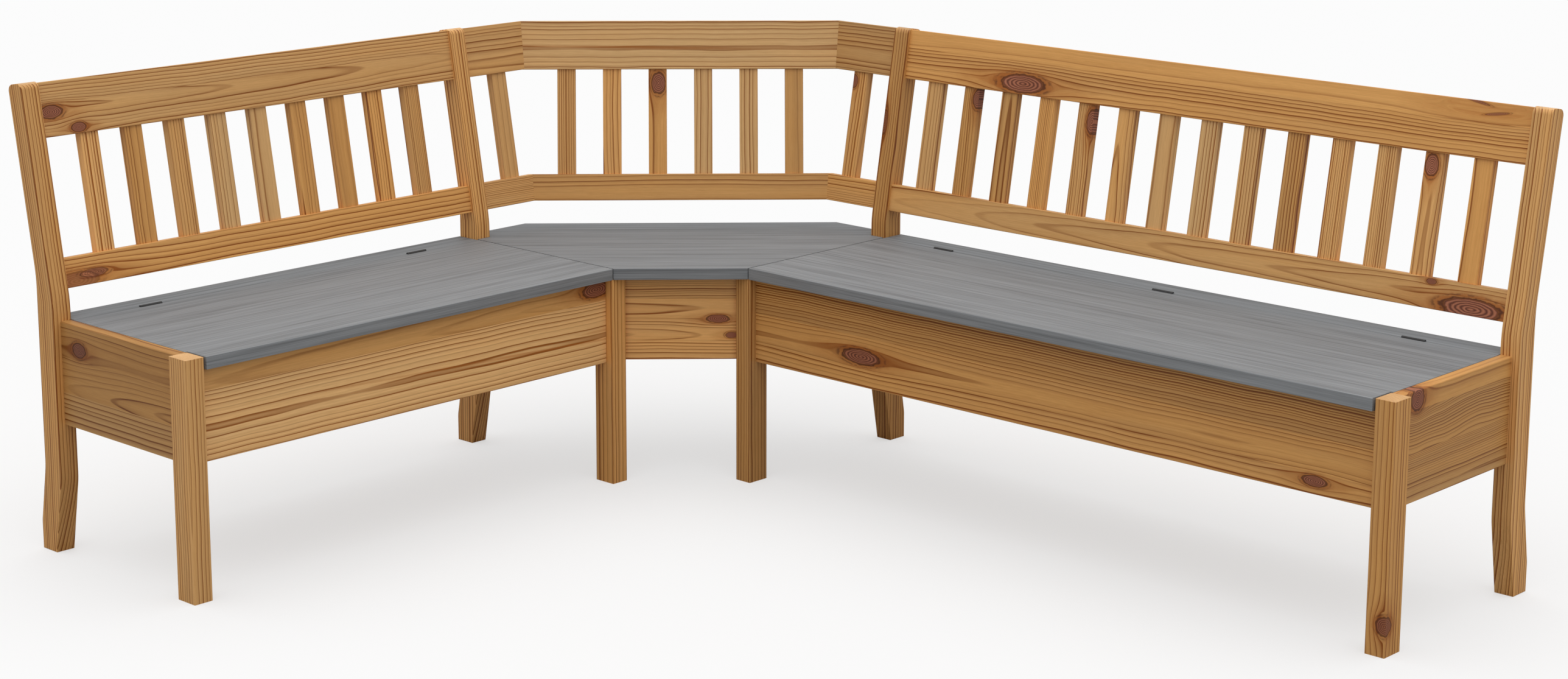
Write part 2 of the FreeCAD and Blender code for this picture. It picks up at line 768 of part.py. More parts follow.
def make_corner():
    """All pieces between the two inner posts, by name, and their shared fasteners."""
    pieces = {}
    reach = corner_reach - joint_gap / 2
    post_side = inner_side - strip_end_gap
    post_front = post_depth + strip_end_gap

    # Front panel between the inner legs, with its dowels
    front, rear = corner_panel_faces()
    front_short = front * math.sqrt(2) - inner_side
    rear_short = rear * math.sqrt(2) - inner_side
    plan = [
        (front_short, -inner_side),
        (inner_side, -front_short),
        (inner_side, -rear_short),
        (rear_short, -inner_side),
    ]
    right_pins, right_holes = corner_panel_dowels()
    dowels = right_pins + [to_left(pin) for pin in right_pins]
    dowel_holes = right_holes + [to_left(hole) for hole in right_holes]

    # Cleats that carry the seat
    side_screws = [aim(wood_screw, point, direction) for point, direction in corner_cleat_screws()]
    side_holes = corner_cleat_holes()
    right_cleat = corner_cleat()
    half = (inner_side - rear_short) / math.sqrt(2) - batten_size - batten_end_gap
    diagonal_front = rear - corner_half_back
    diagonal_rear = diagonal_front - batten_size
    cleat_low = board_bottom - batten_size
    front_cleat = block(-half, half, diagonal_rear, diagonal_front, cleat_low, board_bottom)
    front_screws = []
    middle_depth = (diagonal_front + diagonal_rear) / 2
    for x in spread(-half + batten_size, half - batten_size, 2):
        front_screws.append((Vector(x, -diagonal_rear, cleat_low + batten_size / 2), Vector(0, -1, 0)))
    for x in spread(-half / 2 + batten_size, half / 2 - batten_size, 2):
        front_screws.append((Vector(x, -middle_depth, cleat_low), Vector(0, 0, 1)))
    front_solids = [to_diagonal(aim(wood_screw, point, direction)) for point, direction in front_screws]
    front_holes = [to_diagonal(aim(wood_screw_hole, point, direction)) for point, direction in front_screws]
    all_holes = side_holes + [to_left(hole) for hole in side_holes] + front_holes
    cleats = [right_cleat, to_left(right_cleat), to_diagonal(front_cleat)]
    pieces["corner_seat_cleats"] = [cleat.cut(all_holes) for cleat in cleats]
    pieces["corner_front_panel"] = prism(plan, panel_bottom, board_bottom).cut(dowel_holes + front_holes)

    # Seat, notched round the inner posts
    plan = [
        (seat_depth, -reach),
        (reach, -seat_depth),
        (reach, -post_front),
        (post_side, -post_front),
        (post_side, 0),
        (seat_cut, 0),
        (0, -seat_cut),
        (0, -post_side),
        (post_front, -post_side),
        (post_front, -reach),
    ]
    seat = prism(plan, board_bottom, seat_height)
    low = Vector(seat_depth, -reach, seat_height)
    high = Vector(reach, -seat_depth, seat_height)
    seat = ease_at(seat, board_edge_radius, low, high)
    pieces["corner_seat"] = seat.cut(all_holes)

    # Back: a short stretch beside each inner post and a diagonal stretch, mitred together
    short_centre = inner_side - short_slat_distance
    upper, lower = rail_pair(0, inner_side, [short_centre], False, True)
    mitre = far_side(back_cut, 180 + mitre_turn)
    upper = lean(upper).cut(mitre)
    lower = lean(lower).cut(mitre)
    short_slat = lean(slat(short_centre))
    pieces["corner_top_rail_right"] = upper
    pieces["corner_lower_rail_right"] = lower
    pieces["corner_slat_right"] = short_slat
    pieces["corner_top_rail_left"] = to_left(upper)
    pieces["corner_lower_rail_left"] = to_left(lower)
    pieces["corner_slat_left"] = to_left(short_slat)
    centres = slat_centres(-corner_half_back, corner_half_back, corner_slat_pitch, 0)
    upper, lower = rail_pair(-back_cut, back_cut, centres, False, False)
    mitres = [far_side(corner_half_back, -mitre_turn), far_side(-corner_half_back, 180 + mitre_turn)]
    pieces["corner_top_rail_middle"] = to_diagonal(lean(upper).cut(mitres))
    pieces["corner_lower_rail_middle"] = to_diagonal(lean(lower).cut(mitres))
    pieces["corner_slats"] = [to_diagonal(lean(slat(centre))) for centre in centres]

    shared = {
        "panel_dowels": dowels,
        "frame_screws": side_screws + [to_left(screw) for screw in side_screws] + front_solids,
    }
    return pieces, shared


# Gather the pieces of both wings and the corner


def as_list(shape):
    """A piece as a list of solids."""
    return shape if isinstance(shape, list) else [shape]


nodes = {}
right_pieces, right_shared = make_wing(right_length, right_slat_pitch, right_slat_shift, right_hinge_count)
left_pieces, left_shared = make_wing(left_length, left_slat_pitch, left_slat_shift, left_hinge_count)
corner_pieces, corner_shared = make_corner()
for name, shape in right_pieces.items():
    nodes["right_" + name] = as_list(shape)
for name, shape in left_pieces.items():
    nodes["left_" + name] = [to_left(solid) for solid in as_list(shape)]
for name, shape in corner_pieces.items():
    nodes[name] = as_list(shape)
for name, solids in right_shared.items():
    nodes[name] = solids + [to_left(solid) for solid in left_shared[name]] + corner_shared.get(name, [])

# The origin goes to the middle of the bench's box, on the floor
whole = Part.makeCompound([solid for solids in nodes.values() for solid in solids])
box = whole.optimalBoundingBox(False, False)
shift = Vector(-(box.XMin + box.XMax) / 2, -(box.YMin + box.YMax) / 2, -box.ZMin)
print("shift", shift.x, shift.y, shift.z)
print("box", box.XLength, box.YLength, box.ZLength)

for name, solids in sorted(nodes.items()):
    group = Part.makeCompound([part for solid in solids for part in solid.Solids])
    group.translate(shift)
    group.exportStep("parts/" + name + ".step")
    print(name, len(group.Solids), "solids,", round(group.Volume / 1000, 1), "cubic cm, valid", group.isValid())
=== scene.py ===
# %% [markdown]
# A corner storage bench in oiled pine with grey stained seat boards.
#
# All pieces of the bench are already modelled to size. This lesson gives them their finish: growth rings, knots,
# end grain, stain and metal, worked out by node maths from where a point lies in the bench. Then it sets up a
# studio and a camera. Lengths are in metres.

# %% Load the bench
import math
from typing import NamedTuple

import bpy
import numpy as np
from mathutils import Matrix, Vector


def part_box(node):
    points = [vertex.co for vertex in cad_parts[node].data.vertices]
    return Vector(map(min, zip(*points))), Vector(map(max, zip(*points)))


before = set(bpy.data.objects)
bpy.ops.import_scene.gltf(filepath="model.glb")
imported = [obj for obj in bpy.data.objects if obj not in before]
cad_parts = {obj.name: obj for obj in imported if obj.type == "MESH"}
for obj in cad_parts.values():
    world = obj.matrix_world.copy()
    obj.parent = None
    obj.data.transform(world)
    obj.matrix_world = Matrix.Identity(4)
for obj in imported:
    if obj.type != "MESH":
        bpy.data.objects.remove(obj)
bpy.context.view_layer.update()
print("pieces:", len(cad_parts))


# %% [markdown]
# A board's grain follows the board, not the room. So every piece needs its own directions: along the grain, across
# its wide face, and through its thickness.
#
# The two wings and the diagonal stretch of the back are all described the same way. A run starts where the rear
# edges of the two seats would cross. "Along" goes away from the corner, "forward" goes towards the sitter, and
# "up" is up. The leaning back has its own up and forward, turned by its lean.

# %% Directions of the wings
LEAN = math.radians(10.07)
BEND_HEIGHT = 0.497
POST_DEPTH = 0.0515
BACK_CUT = 0.478
UP = Vector((0, 0, 1))

crossing = Vector((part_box("left_rear_strip")[0].x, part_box("right_rear_strip")[1].y, 0))


class Run:
    """Directions and starting point of one stretch of the bench."""

    def __init__(self, along, forward, start):
        self.along = Vector(along).normalized()
        self.forward = Vector(forward).normalized()
        self.start = start
        self.lean_up = UP * math.cos(LEAN) - self.forward * math.sin(LEAN)
        self.lean_forward = self.forward * math.cos(LEAN) + UP * math.sin(LEAN)
        self.bend = start + self.forward * POST_DEPTH + UP * BEND_HEIGHT


right = Run((1, 0, 0), (0, -1, 0), crossing)
left = Run((0, -1, 0), (1, 0, 0), crossing)
diagonal = Run((1, 1, 0), (1, -1, 0), crossing + Vector((BACK_CUT / 2, -BACK_CUT / 2, 0)))
print("rear edges cross at", [round(value, 4) for value in crossing])


def reach(piece, direction, start):
    """The lowest and highest distance of a piece's corners from the start, measured along a direction."""
    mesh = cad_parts[piece].data
    corners = np.empty(len(mesh.vertices) * 3, dtype=np.float32)
    mesh.vertices.foreach_get("co", corners)
    distances = (corners.reshape(-1, 3) - np.array(start)) @ np.array(direction)
    return float(distances.min()), float(distances.max())


# %% [markdown]
# Blender's node graphs get long when every sum is a node made by hand. A Signal wraps one output socket, so that
# ordinary Python sums on it add the Math nodes.

# %% Sums on sockets
class Signal:
    """A value that changes over a surface: one output socket of a node tree."""

    def __init__(self, nodes, socket):
        self.nodes = nodes
        self.socket = socket

    def __add__(self, other):
        return self.nodes.maths("ADD", self, other)

    def __sub__(self, other):
        return self.nodes.maths("SUBTRACT", self, other)

    def __rsub__(self, other):
        return self.nodes.maths("SUBTRACT", other, self)

    def __mul__(self, other):
        return self.nodes.maths("MULTIPLY", self, other)

    def __truediv__(self, other):
        return self.nodes.maths("DIVIDE", self, other)

    __radd__ = __add__
    __rmul__ = __mul__


print("sums that add nodes: + - * /")

# %% [markdown]
# Nodes holds a node tree. Its method "node" adds any node: the settings come first, because they decide which
# sockets there are, and then the sockets get their values or links. The other methods are short names for nodes
# that are used often.

# %% Any other node
# Sockets of a Mix node: its first and second value and its result, which differ by the kind of value
MIX_FACTOR = 0
COLOUR_FIRST, COLOUR_SECOND, COLOUR_RESULT = 6, 7, 2
NUMBER_FIRST, NUMBER_SECOND = 2, 3


class Nodes:
    """A node tree, emptied, and the ways to add nodes to it."""

    def __init__(self, tree):
        self.tree = tree
        self.tree.nodes.clear()

    def node(self, kind, settings=None, inputs=None, output=0):
        """Add a node and return one of its outputs, several for a tuple of names, or nothing if it has none."""
        made = self.tree.nodes.new(kind)
        for name, value in (settings or {}).items():
            if name == "stops":
                self.fill_ramp(made.color_ramp, value)
            else:
                setattr(made, name, value)
        for name, value in (inputs or {}).items():
            if isinstance(value, Signal):
                self.tree.links.new(value.socket, made.inputs[name])
            else:
                made.inputs[name].default_value = value
        if isinstance(output, tuple):
            return [Signal(self, made.outputs[name]) for name in output]
        return Signal(self, made.outputs[output]) if made.outputs else None

    @staticmethod
    def fill_ramp(ramp, stops):
        """Give a ramp its hard steps: places from 0 to 1, each with three numbers as a colour."""
        ramp.interpolation = "CONSTANT"
        while len(ramp.elements) < len(stops):
            ramp.elements.new(1.0)
        for element, (place, numbers) in zip(ramp.elements, stops):
            element.position = place
            element.color = (*numbers, 1)

    def maths(self, operation, *values):
        """A Math node on one, two or three values."""
        return self.node("ShaderNodeMath", {"operation": operation}, dict(enumerate(values)))

    def rise(self, value, low, high):
        """Goes smoothly from 0 to 1 while the value goes from low to high."""
        settings = {"interpolation_type": "SMOOTHSTEP"}
        inputs = {"Value": value, "From Min": low, "From Max": high}
        return self.node("ShaderNodeMapRange", settings, inputs)

    def along(self, vector, direction):
        """How much of a vector points in a direction."""
        settings = {"operation": "DOT_PRODUCT"}
        return self.node("ShaderNodeVectorMath", settings, {0: vector, 1: direction}, "Value")

    def noise(self, x, y, z, detail=1.0, roughness=0.5):
        """Smooth noise about 0, between -1 and 1, of three numbers."""
        point = self.node("ShaderNodeCombineXYZ", inputs={"X": x, "Y": y, "Z": z})
        inputs = {"Vector": point, "Scale": 1.0, "Detail": detail, "Roughness": roughness}
        return self.node("ShaderNodeTexNoise", inputs=inputs) * 2 - 1

    def chance(self, number):
        """A random number between 0 and 1 that stays the same for the same whole number."""
        return self.node("ShaderNodeTexWhiteNoise", {"noise_dimensions": "1D"}, {"W": number}, "Value")

    def blend(self, factor, first, second):
        """Mix two colours."""
        settings = {"data_type": "RGBA", "clamp_factor": True}
        inputs = {MIX_FACTOR: factor, COLOUR_FIRST: first, COLOUR_SECOND: second}
        return self.node("ShaderNodeMix", settings, inputs, COLOUR_RESULT)

    def scaled(self, colour, amount):
        """A colour made lighter or darker, with its hue kept."""
        return self.node("ShaderNodeVectorMath", {"operation": "SCALE"}, {0: colour, "Scale": amount})


print("ways to add nodes:", ", ".join(name for name in vars(Nodes) if not name.startswith("_")))

# %% [markdown]
# A Finish is one material. It measures where a point lies in the bench, and it ends in one shader. The bump node
# turns a height into the small tilts of the surface that catch the light.

# %% One material
BUMP_STRENGTH = 0.4


class Spot(NamedTuple):
    """Where a point lies: along the grain, across the boards and through their thickness, in metres."""

    along: Signal
    across: Signal
    through: Signal


class Finish(Nodes):
    """One material and the nodes that make it."""

    def __init__(self, name):
        self.material = bpy.data.materials.new(name)
        self.material.use_nodes = True
        super().__init__(self.material.node_tree)
        self.place, self.normal = self.node("ShaderNodeTexCoord", output=("Object", "Normal"))

    def distance(self, direction, start):
        """How far the point lies from the start, measured along a direction."""
        return self.along(self.place, direction) - start.dot(direction)

    def field(self, spot, waves, shift=(0.0, 0.0, 0.0), detail=1.0, roughness=0.5):
        """Noise in a piece: its waves per metre along, across and through, and a shift of each."""
        point = [part * wave + move for part, wave, move in zip(spot, waves, shift)]
        return self.noise(*point, detail, roughness)

    def surface(self, colour, roughness, height, relief, fixed):
        """Finish the material. The relief is the height of 1 in metres, and "fixed" holds what else the shader gets."""
        inputs = {"Strength": BUMP_STRENGTH, "Distance": relief, "Height": height}
        bump = self.node("ShaderNodeBump", inputs=inputs)
        inputs = {"Base Color": colour, "Roughness": roughness, "Normal": bump, **fixed}
        shader = self.node("ShaderNodeBsdfPrincipled", inputs=inputs)
        self.node("ShaderNodeOutputMaterial", inputs={"Surface": shader})
        return self.material


def dress(piece, material):
    """Give a piece of the bench its finish."""
    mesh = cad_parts[piece].data
    mesh.materials.clear()
    mesh.materials.append(material)
    print(piece, "-", material.name, "with", len(material.node_tree.nodes), "nodes")


# %% [markdown]
# Pine is laid down in rings round the heart of the tree. Each ring is pale at first and ends in a thin dark line. A
# sawn board is a cut through those rings: straight lines where they are cut square, arches where they are cut flat,
# arcs on the end. So the rings are worked out in the round, as the distance from a heart line, and every face of
# the board shows the right part of them.
#
# A Board says how one board was sawn: where its heart lies, how wide its rings are, and its colour. Panels are
# glued from several boards, so a panel gets a list of them from the lowest up. Slats stand side by side, and get a
# list from the corner outwards.

# %% Boards and knots
LAST = 9.0      # the end of a board that runs on to the piece's own edge


class Board(NamedTuple):
    """How one board was sawn, and its colour."""

    end: float      # the glue line where it stops, measured across the boards
    heart: float    # where the heart lies, measured across
    depth: float    # how deep the heart lies behind the face, at the start of the grain
    ring: float     # width of the rings near the heart
    crowd: float    # how much narrower they get further out
    tilt: float     # how fast the heart sinks along the grain
    wave: float     # how far the grain waves
    strong: float   # how dark the late wood is
    warm: float     # from pale yellow to orange
    light: float    # how light it is


class Knot(NamedTuple):
    """A knot. With dark and bend at 0, only its glow is left, which is a streak of resin."""

    along: float                # where it lies along the grain
    across: float               # and across it
    half_length: float
    half_height: float
    dark: float = 1.0           # how clearly its core and rim show
    bend: float = 1.0           # how far it pushes the grain aside
    slant: float = 0.0          # how far it climbs along the grain
    half_depth: float = 0.2     # how deep it goes into the board


print("numbers of a board:", ", ".join(Board._fields))
print("numbers of a knot:", ", ".join(Knot._fields))

# %% [markdown]
# A finish has to know which board a point is in. One board's numbers go straight into the maths. The numbers of
# several boards are kept in ramps, whose hard steps are the glue lines.

# %% Which board a point is in
BOARD_NUMBERS = [name for name in Board._fields if name != "end"]
RAMP_LIFT = 1.0


def board_at(finish, across, boards, row):
    """The number of the board that a point is in, and the place across from which its heart is measured."""
    if row:
        first, pitch = row
        number = finish.maths("ROUND", (across - first) / pitch)
        return number, across - first - number * pitch
    number = 0.0
    for board in boards[:-1]:
        number = finish.maths("GREATER_THAN", across, board.end) + number
    return number, across


def board_values(finish, number, boards):
    """The numbers of a board: three to a ramp, and lifted, as a ramp holds none below 0."""
    if len(boards) == 1:
        return boards[0]
    values = {"end": LAST}
    place = (number + 0.5) / len(boards)
    for first in range(0, len(BOARD_NUMBERS), 3):
        names = BOARD_NUMBERS[first:first + 3]
        stops = [
            (index / len(boards), [getattr(board, name) + RAMP_LIFT for name in names])
            for index, board in enumerate(boards)
        ]
        colour = finish.node("ShaderNodeValToRGB", {"stops": stops}, {"Fac": place})
        parts = finish.node("ShaderNodeSeparateColor", inputs={0: colour}, output=(0, 1, 2))
        for name, part in zip(names, parts):
            values[name] = part - RAMP_LIFT
    return Board(**values)


print("ramps for several boards:", len(BOARD_NUMBERS) // 3)

# %% [markdown]
# A knot is a branch that the trunk grew round. On a board it is an oval with its own rings, a nearly black rim of
# bark, and wood full of resin about it, and the grain flows past it as water flows past a stone: how far it is
# pushed aside is the height over the knot's middle, over the square of the distance.

# %% What a knot does
STIR_WAVES = (70, 110, 60)
RAGGED = 0.2                # how ragged a knot's outline is
OWN_RINGS = 33              # a knot's own rings, as the angle of a sine wave to its outline
RINGS_STIRRED = 4.5
BARK_SHARE = 0.7
GLOW_LENGTHENED = 0.3       # the glow reaches further along the grain than across it
FLOW_LENGTHENED = 0.4

# Where each part fades in or out: distances from the knot's middle, 1 at its outline
CORE_OUT = (0.86, 0.98)
RIM_IN, RIM_OUT = (0.86, 1.0), (1.02, 1.12)
BARK_IN, BARK_OUT = (1.22, 1.32), (1.34, 1.48)
BARK_BROKEN = (-0.3, 0.3)
HALO_OUT = (1.0, 1.8)
GLOW_OUT = (0.75, 2.3)


class Signs(NamedTuple):
    """What the knots do at a point."""

    core: Signal | float = 0.0      # inside a knot
    rim: Signal | float = 0.0       # on its dark rim
    halo: Signal | float = 0.0      # in the resin round it
    glow: Signal | float = 0.0      # in the wider, weaker glow
    push: Signal | float = 0.0      # how far the grain is pushed aside, in metres
    rings: Signal | float = 0.0     # the knot's own rings


def knot_signs(finish, spot, knots, seed):
    """Add up what all the knots of a piece do."""
    stir = finish.field(spot, STIR_WAVES, (0.0, 0.0, seed), detail=2.0)
    core, rim, halo, glow, push, rings = Signs()
    for knot in knots:
        x = (spot.along - knot.along) / knot.half_length
        level = spot.across - knot.across - (spot.along - knot.along) * knot.slant
        y = level / knot.half_height
        z = (spot.through * spot.through) / knot.half_depth ** 2
        away = finish.maths("SQRT", x * x + y * y + z) + stir * RAGGED
        wide = finish.maths("SQRT", x * x * GLOW_LENGTHENED + y * y + z) + stir * RAGGED
        glow = finish.maths("MAXIMUM", 1 - finish.rise(wide, *GLOW_OUT), glow)
        if knot.dark:
            inside = (1 - finish.rise(away, *CORE_OUT)) * knot.dark
            core = finish.maths("MAXIMUM", inside, core)
            edge = finish.rise(away, *RIM_IN) * (1 - finish.rise(away, *RIM_OUT))
            bark = finish.rise(away, *BARK_IN) * (1 - finish.rise(away, *BARK_OUT))
            bark = bark * finish.rise(stir, *BARK_BROKEN)
            rim = finish.maths("MAXIMUM", (edge + bark * BARK_SHARE) * knot.dark, rim)
            halo = finish.maths("MAXIMUM", (1 - finish.rise(away, *HALO_OUT)) * knot.dark, halo)
            own = finish.maths("SINE", away * OWN_RINGS - stir * RINGS_STIRRED) * 0.5 + 0.5
            rings = inside * own + rings
        if knot.bend:
            flow = finish.maths("MAXIMUM", x * x * FLOW_LENGTHENED + y * y + z, 1.0)
            push = level * knot.bend / flow + push
    return Signs(core, rim, halo, glow, push, rings)


print("what a knot gives:", ", ".join(Signs._fields))

# %% [markdown]
# The rings come from the heart line. The grain waves a little, ripples finely, and is pushed aside by knots. The
# rings are counted by the distance from the heart over the width of a ring, which isn't the same every year.

# %% Rings
# Waves per metre along the grain, across it and through the board
WANDER_WAVES = (2.6, 6, 0)
WAVE_WAVES = (6.5, 5, 0)
RIPPLE_WAVES = (16, 40, 40)
WANDER_REACH = 0.004
RIPPLE_REACH = 0.0006
YEARS_SPREAD = 0.7          # how unequal the years are, in rings
YEARS_WAVES = 0.45          # waves per ring


class Growth(NamedTuple):
    """How the rings pass a point."""

    turns: Signal       # rings between the heart and the point
    flat: Signal        # 1 where the face is cut flat to the rings
    stream: Signal      # how far the grain is bent aside, in metres


def growth(finish, spot, offset, board, push, chapter, side, face):
    """Work out the rings at a point. The chapter makes each board's noise its own."""
    shift = (chapter, 0.0, chapter)
    wander = finish.field(spot, WANDER_WAVES, shift)
    wave = finish.field(spot, WAVE_WAVES, shift)
    ripple = finish.field(spot, RIPPLE_WAVES, shift)
    stream = wave * board.wave + ripple * RIPPLE_REACH - push
    from_heart = offset - board.heart + stream
    deep = board.depth - spot.through + spot.along * board.tilt + wander * WANDER_REACH
    radius = finish.maths("SQRT", from_heart * from_heart + deep * deep)
    turns = radius / board.ring
    turns = turns + turns * turns * board.crowd
    turns = turns + finish.noise(turns * YEARS_WAVES, chapter, 0.0) * YEARS_SPREAD
    facing_side = finish.along(finish.normal, side) * from_heart
    facing_heart = finish.along(finish.normal, face) * deep
    flat = finish.maths("ABSOLUTE", facing_side - facing_heart) / radius
    return Growth(turns, flat, stream)


print("what the rings give:", ", ".join(Growth._fields))

# %% [markdown]
# Late wood is what the tree adds in autumn. It darkens slowly through the ring, ends in a thin dark line, and then
# drops at once. Some years are strong and most are weak, which is why no two lines on a board look alike. Where a
# board is cut flat to the rings, the lines are wide and weaker.

# %% Late wood
# Where in a ring, from 0 to 1, each part fades in or out
AUTUMN_IN, LINE_IN, LINE_OUT = (0.2, 0.88), (0.74, 0.88), (0.93, 1.0)
AUTUMN_SHARE, LINE_SHARE = 0.32, 0.85
WEAKEST_YEAR, YEAR_RANGE = 0.36, 1.15
CUT_FLAT = (0.85, 1.0)
FULL_LINE, FLAT_LOSS = 1.05, 0.6
STREAK_SHARE = 0.5
NEAR_HEART, PER_RING, FAR_OUT = 0.9, 0.025, 1.6     # lines grow stronger away from the heart
RESIN_SHARE = 0.5
BOARD_STEP = 31                         # more rings than a board has, so that no two boards share their years


def late_wood(finish, rings, board, number, seed, streak, glow):
    """How much late wood there is at a point."""
    phase = finish.maths("FRACT", rings.turns)
    year = finish.maths("FLOOR", rings.turns)
    luck = finish.chance(year + number * BOARD_STEP + seed)
    strength = luck * luck * YEAR_RANGE + WEAKEST_YEAR
    slope = finish.rise(phase, *AUTUMN_IN) * AUTUMN_SHARE + finish.rise(phase, *LINE_IN) * LINE_SHARE
    cut = FULL_LINE - finish.rise(rings.flat, *CUT_FLAT) * FLAT_LOSS
    late = slope * (1 - finish.rise(phase, *LINE_OUT)) * cut * strength * board.strong
    outward = finish.maths("MINIMUM", rings.turns * PER_RING + NEAR_HEART, FAR_OUT)
    late = late * (streak * STREAK_SHARE + 1) * outward
    return late * (glow * RESIN_SHARE + 1)


print("a ring's dark line lies from", LINE_IN[0], "to", LINE_OUT[1])

# %% [markdown]
# The colours go from pale yellow boards to warm orange ones, each with its own early and late wood. Knots are
# reddish brown, and the resin round them is a deep orange that follows the streaks of the grain. Wood grows more
# orange as it darkens, so green and blue change faster than red.

# %% Colours of pine
PALE_EARLY = (0.855, 0.527, 0.228, 1)
PALE_LATE = (0.33, 0.104, 0.012, 1)
WARM_EARLY = (0.855, 0.427, 0.125, 1)
WARM_LATE = (0.30, 0.076, 0.004, 1)
END_GRAIN = (0.80, 0.480, 0.220, 1)
KNOT_CORE = (0.150, 0.040, 0.020, 1)
KNOT_RING = (0.56, 0.200, 0.100, 1)
KNOT_RIM = (0.080, 0.018, 0.006, 1)
KNOT_HALO = (0.44, 0.120, 0.014, 1)
KNOT_GLOW = (0.50, 0.150, 0.018, 1)
GREEN_CHANGE, BLUE_CHANGE = 1.4, 2.0
GLOW_SHARE, GLOW_STREAKED = 0.4, 0.7
HALO_SHARE, HALO_STREAKED = 0.7, 0.5
RING_SHARE, RIM_SHARE = 0.9, 0.85


def wood_colour(finish, late, warm):
    """Early and late wood, between a pale board and a warm one."""
    early_wood = finish.blend(warm, PALE_EARLY, WARM_EARLY)
    return finish.blend(late, early_wood, finish.blend(warm, PALE_LATE, WARM_LATE))


def knot_colour(finish, colour, signs, streak):
    """Lay glow, halo, core and rim over the wood."""
    colour = finish.blend(signs.glow * (streak * GLOW_STREAKED + GLOW_SHARE), colour, KNOT_GLOW)
    colour = finish.blend(signs.halo * (streak * HALO_STREAKED + HALO_SHARE), colour, KNOT_HALO)
    core = finish.blend(signs.rings * RING_SHARE, KNOT_CORE, KNOT_RING)
    colour = finish.blend(signs.core, colour, core)
    return finish.blend(signs.rim * RIM_SHARE, colour, KNOT_RIM)


def shaded(finish, colour, amount):
    """The colour of wood made lighter or darker."""
    change = amount - 1
    tint = {"X": amount, "Y": change * GREEN_CHANGE + 1, "Z": change * BLUE_CHANGE + 1}
    tint = finish.node("ShaderNodeCombineXYZ", inputs=tint)
    return finish.node("ShaderNodeVectorMath", {"operation": "MULTIPLY"}, {0: colour, 1: tint})


print("pale board:", PALE_EARLY[:3], "warm board:", WARM_EARLY[:3])

# %% [markdown]
# The finish adds up what a plank shows at full size and from a step away: the late wood's dark lines, fine fibres,
# slow changes of tone along the board, and knots. The late wood stands up a little from the softer early wood, as
# it does after sanding, and the oil leaves a satin sheen that is a little glossier on it.

# %% Pine
STREAK_WAVES = (3, 330, 330)
FIBRE_WAVES = (34, 1000, 1000)
CLOUD_WAVES = (2.4, 22, 22)
DECADE_WAVES = 0.17         # waves per ring
CHAPTER_STEP = 3.7          # moves the noise on from board to board
DECADE_STEP = 4             # and keeps the decades from repeating the years
FINE_ROUGHNESS = 0.6

# How much each kind of noise adds
CLOUD_WARMS, DECADE_WARMS = 0.45, 0.3
FIBRE_SHADES, STREAK_SHADES, CLOUD_SHADES, DECADE_SHADES = 0.15, 0.17, 0.10, 0.12
END_IN = (0.75, 0.9)        # how squarely the grain has to meet a face to show as end grain
END_SHARE = 0.75

# Roughness of oiled wood, and what late wood and fibres take from it or add
SATIN, LATE_SMOOTHS, FIBRE_ROUGHENS = 0.52, 0.1, 0.06
WOOD_SHINE = 0.35
WOOD_RELIEF = 0.0002        # metres
LATE_RISES, FIBRE_RISES, KNOT_SINKS = 0.35, 0.35, 0.8


def pine(piece, grain, face, start, boards, knots=(), row=None, side=UP, leaning=False, seed=0.0):
    """Dress a piece in pine.

    "row" is the first centre and the pitch of slats that stand side by side. A leaning piece has grain that follows
    the bend of the post.
    """
    finish = Finish("pine_" + piece)
    along = finish.distance(grain, start)
    through = finish.distance(face, start) - reach(piece, face, start)[1]
    if leaning:
        through = through + finish.maths("MAXIMUM", along - BEND_HEIGHT, 0.0) * math.tan(LEAN)
    spot = Spot(along, finish.distance(side, start), through)
    number, offset = board_at(finish, spot.across, boards, row)
    board = board_values(finish, number, boards)
    chapter = number * CHAPTER_STEP + seed
    signs = knot_signs(finish, spot, knots, seed) if knots else Signs()
    rings = growth(finish, spot, offset, board, signs.push, chapter, side, face)

    # Fine noise follows the stream of the grain
    streaming = spot._replace(across=spot.across + rings.stream)
    streak = finish.field(streaming, STREAK_WAVES, (0.0, 0.0, chapter), 2.0, FINE_ROUGHNESS)
    fibre = finish.field(streaming, FIBRE_WAVES, detail=2.0, roughness=FINE_ROUGHNESS)
    cloud = finish.field(spot, CLOUD_WAVES, (0.0, 0.0, chapter), 2.0)
    decade = finish.noise(rings.turns * DECADE_WAVES, chapter + DECADE_STEP, 0.0)

    late = late_wood(finish, rings, board, number, seed, streak, signs.glow)
    colour = wood_colour(finish, late, board.warm + cloud * CLOUD_WARMS + decade * DECADE_WARMS)
    if knots:
        colour = knot_colour(finish, colour, signs, streak)
    end = finish.rise(finish.maths("ABSOLUTE", finish.along(finish.normal, grain)), *END_IN)
    colour = finish.blend(end * END_SHARE, colour, END_GRAIN)
    shade = fibre * FIBRE_SHADES + streak * STREAK_SHADES + cloud * CLOUD_SHADES + decade * DECADE_SHADES + 1
    colour = finish.scaled(shaded(finish, colour, shade), board.light)
    roughness = SATIN - late * LATE_SMOOTHS + fibre * FIBRE_ROUGHENS
    height = late * LATE_RISES + fibre * FIBRE_RISES - signs.core * KNOT_SINKS
    fixed = {"Specular IOR Level": WOOD_SHINE}
    dress(piece, finish.surface(colour, roughness, height, WOOD_RELIEF, fixed))


print("widest noise of pine:", round(1000 / CLOUD_WAVES[1]), "mm, finest:", 1000 / FIBRE_WAVES[1], "mm")
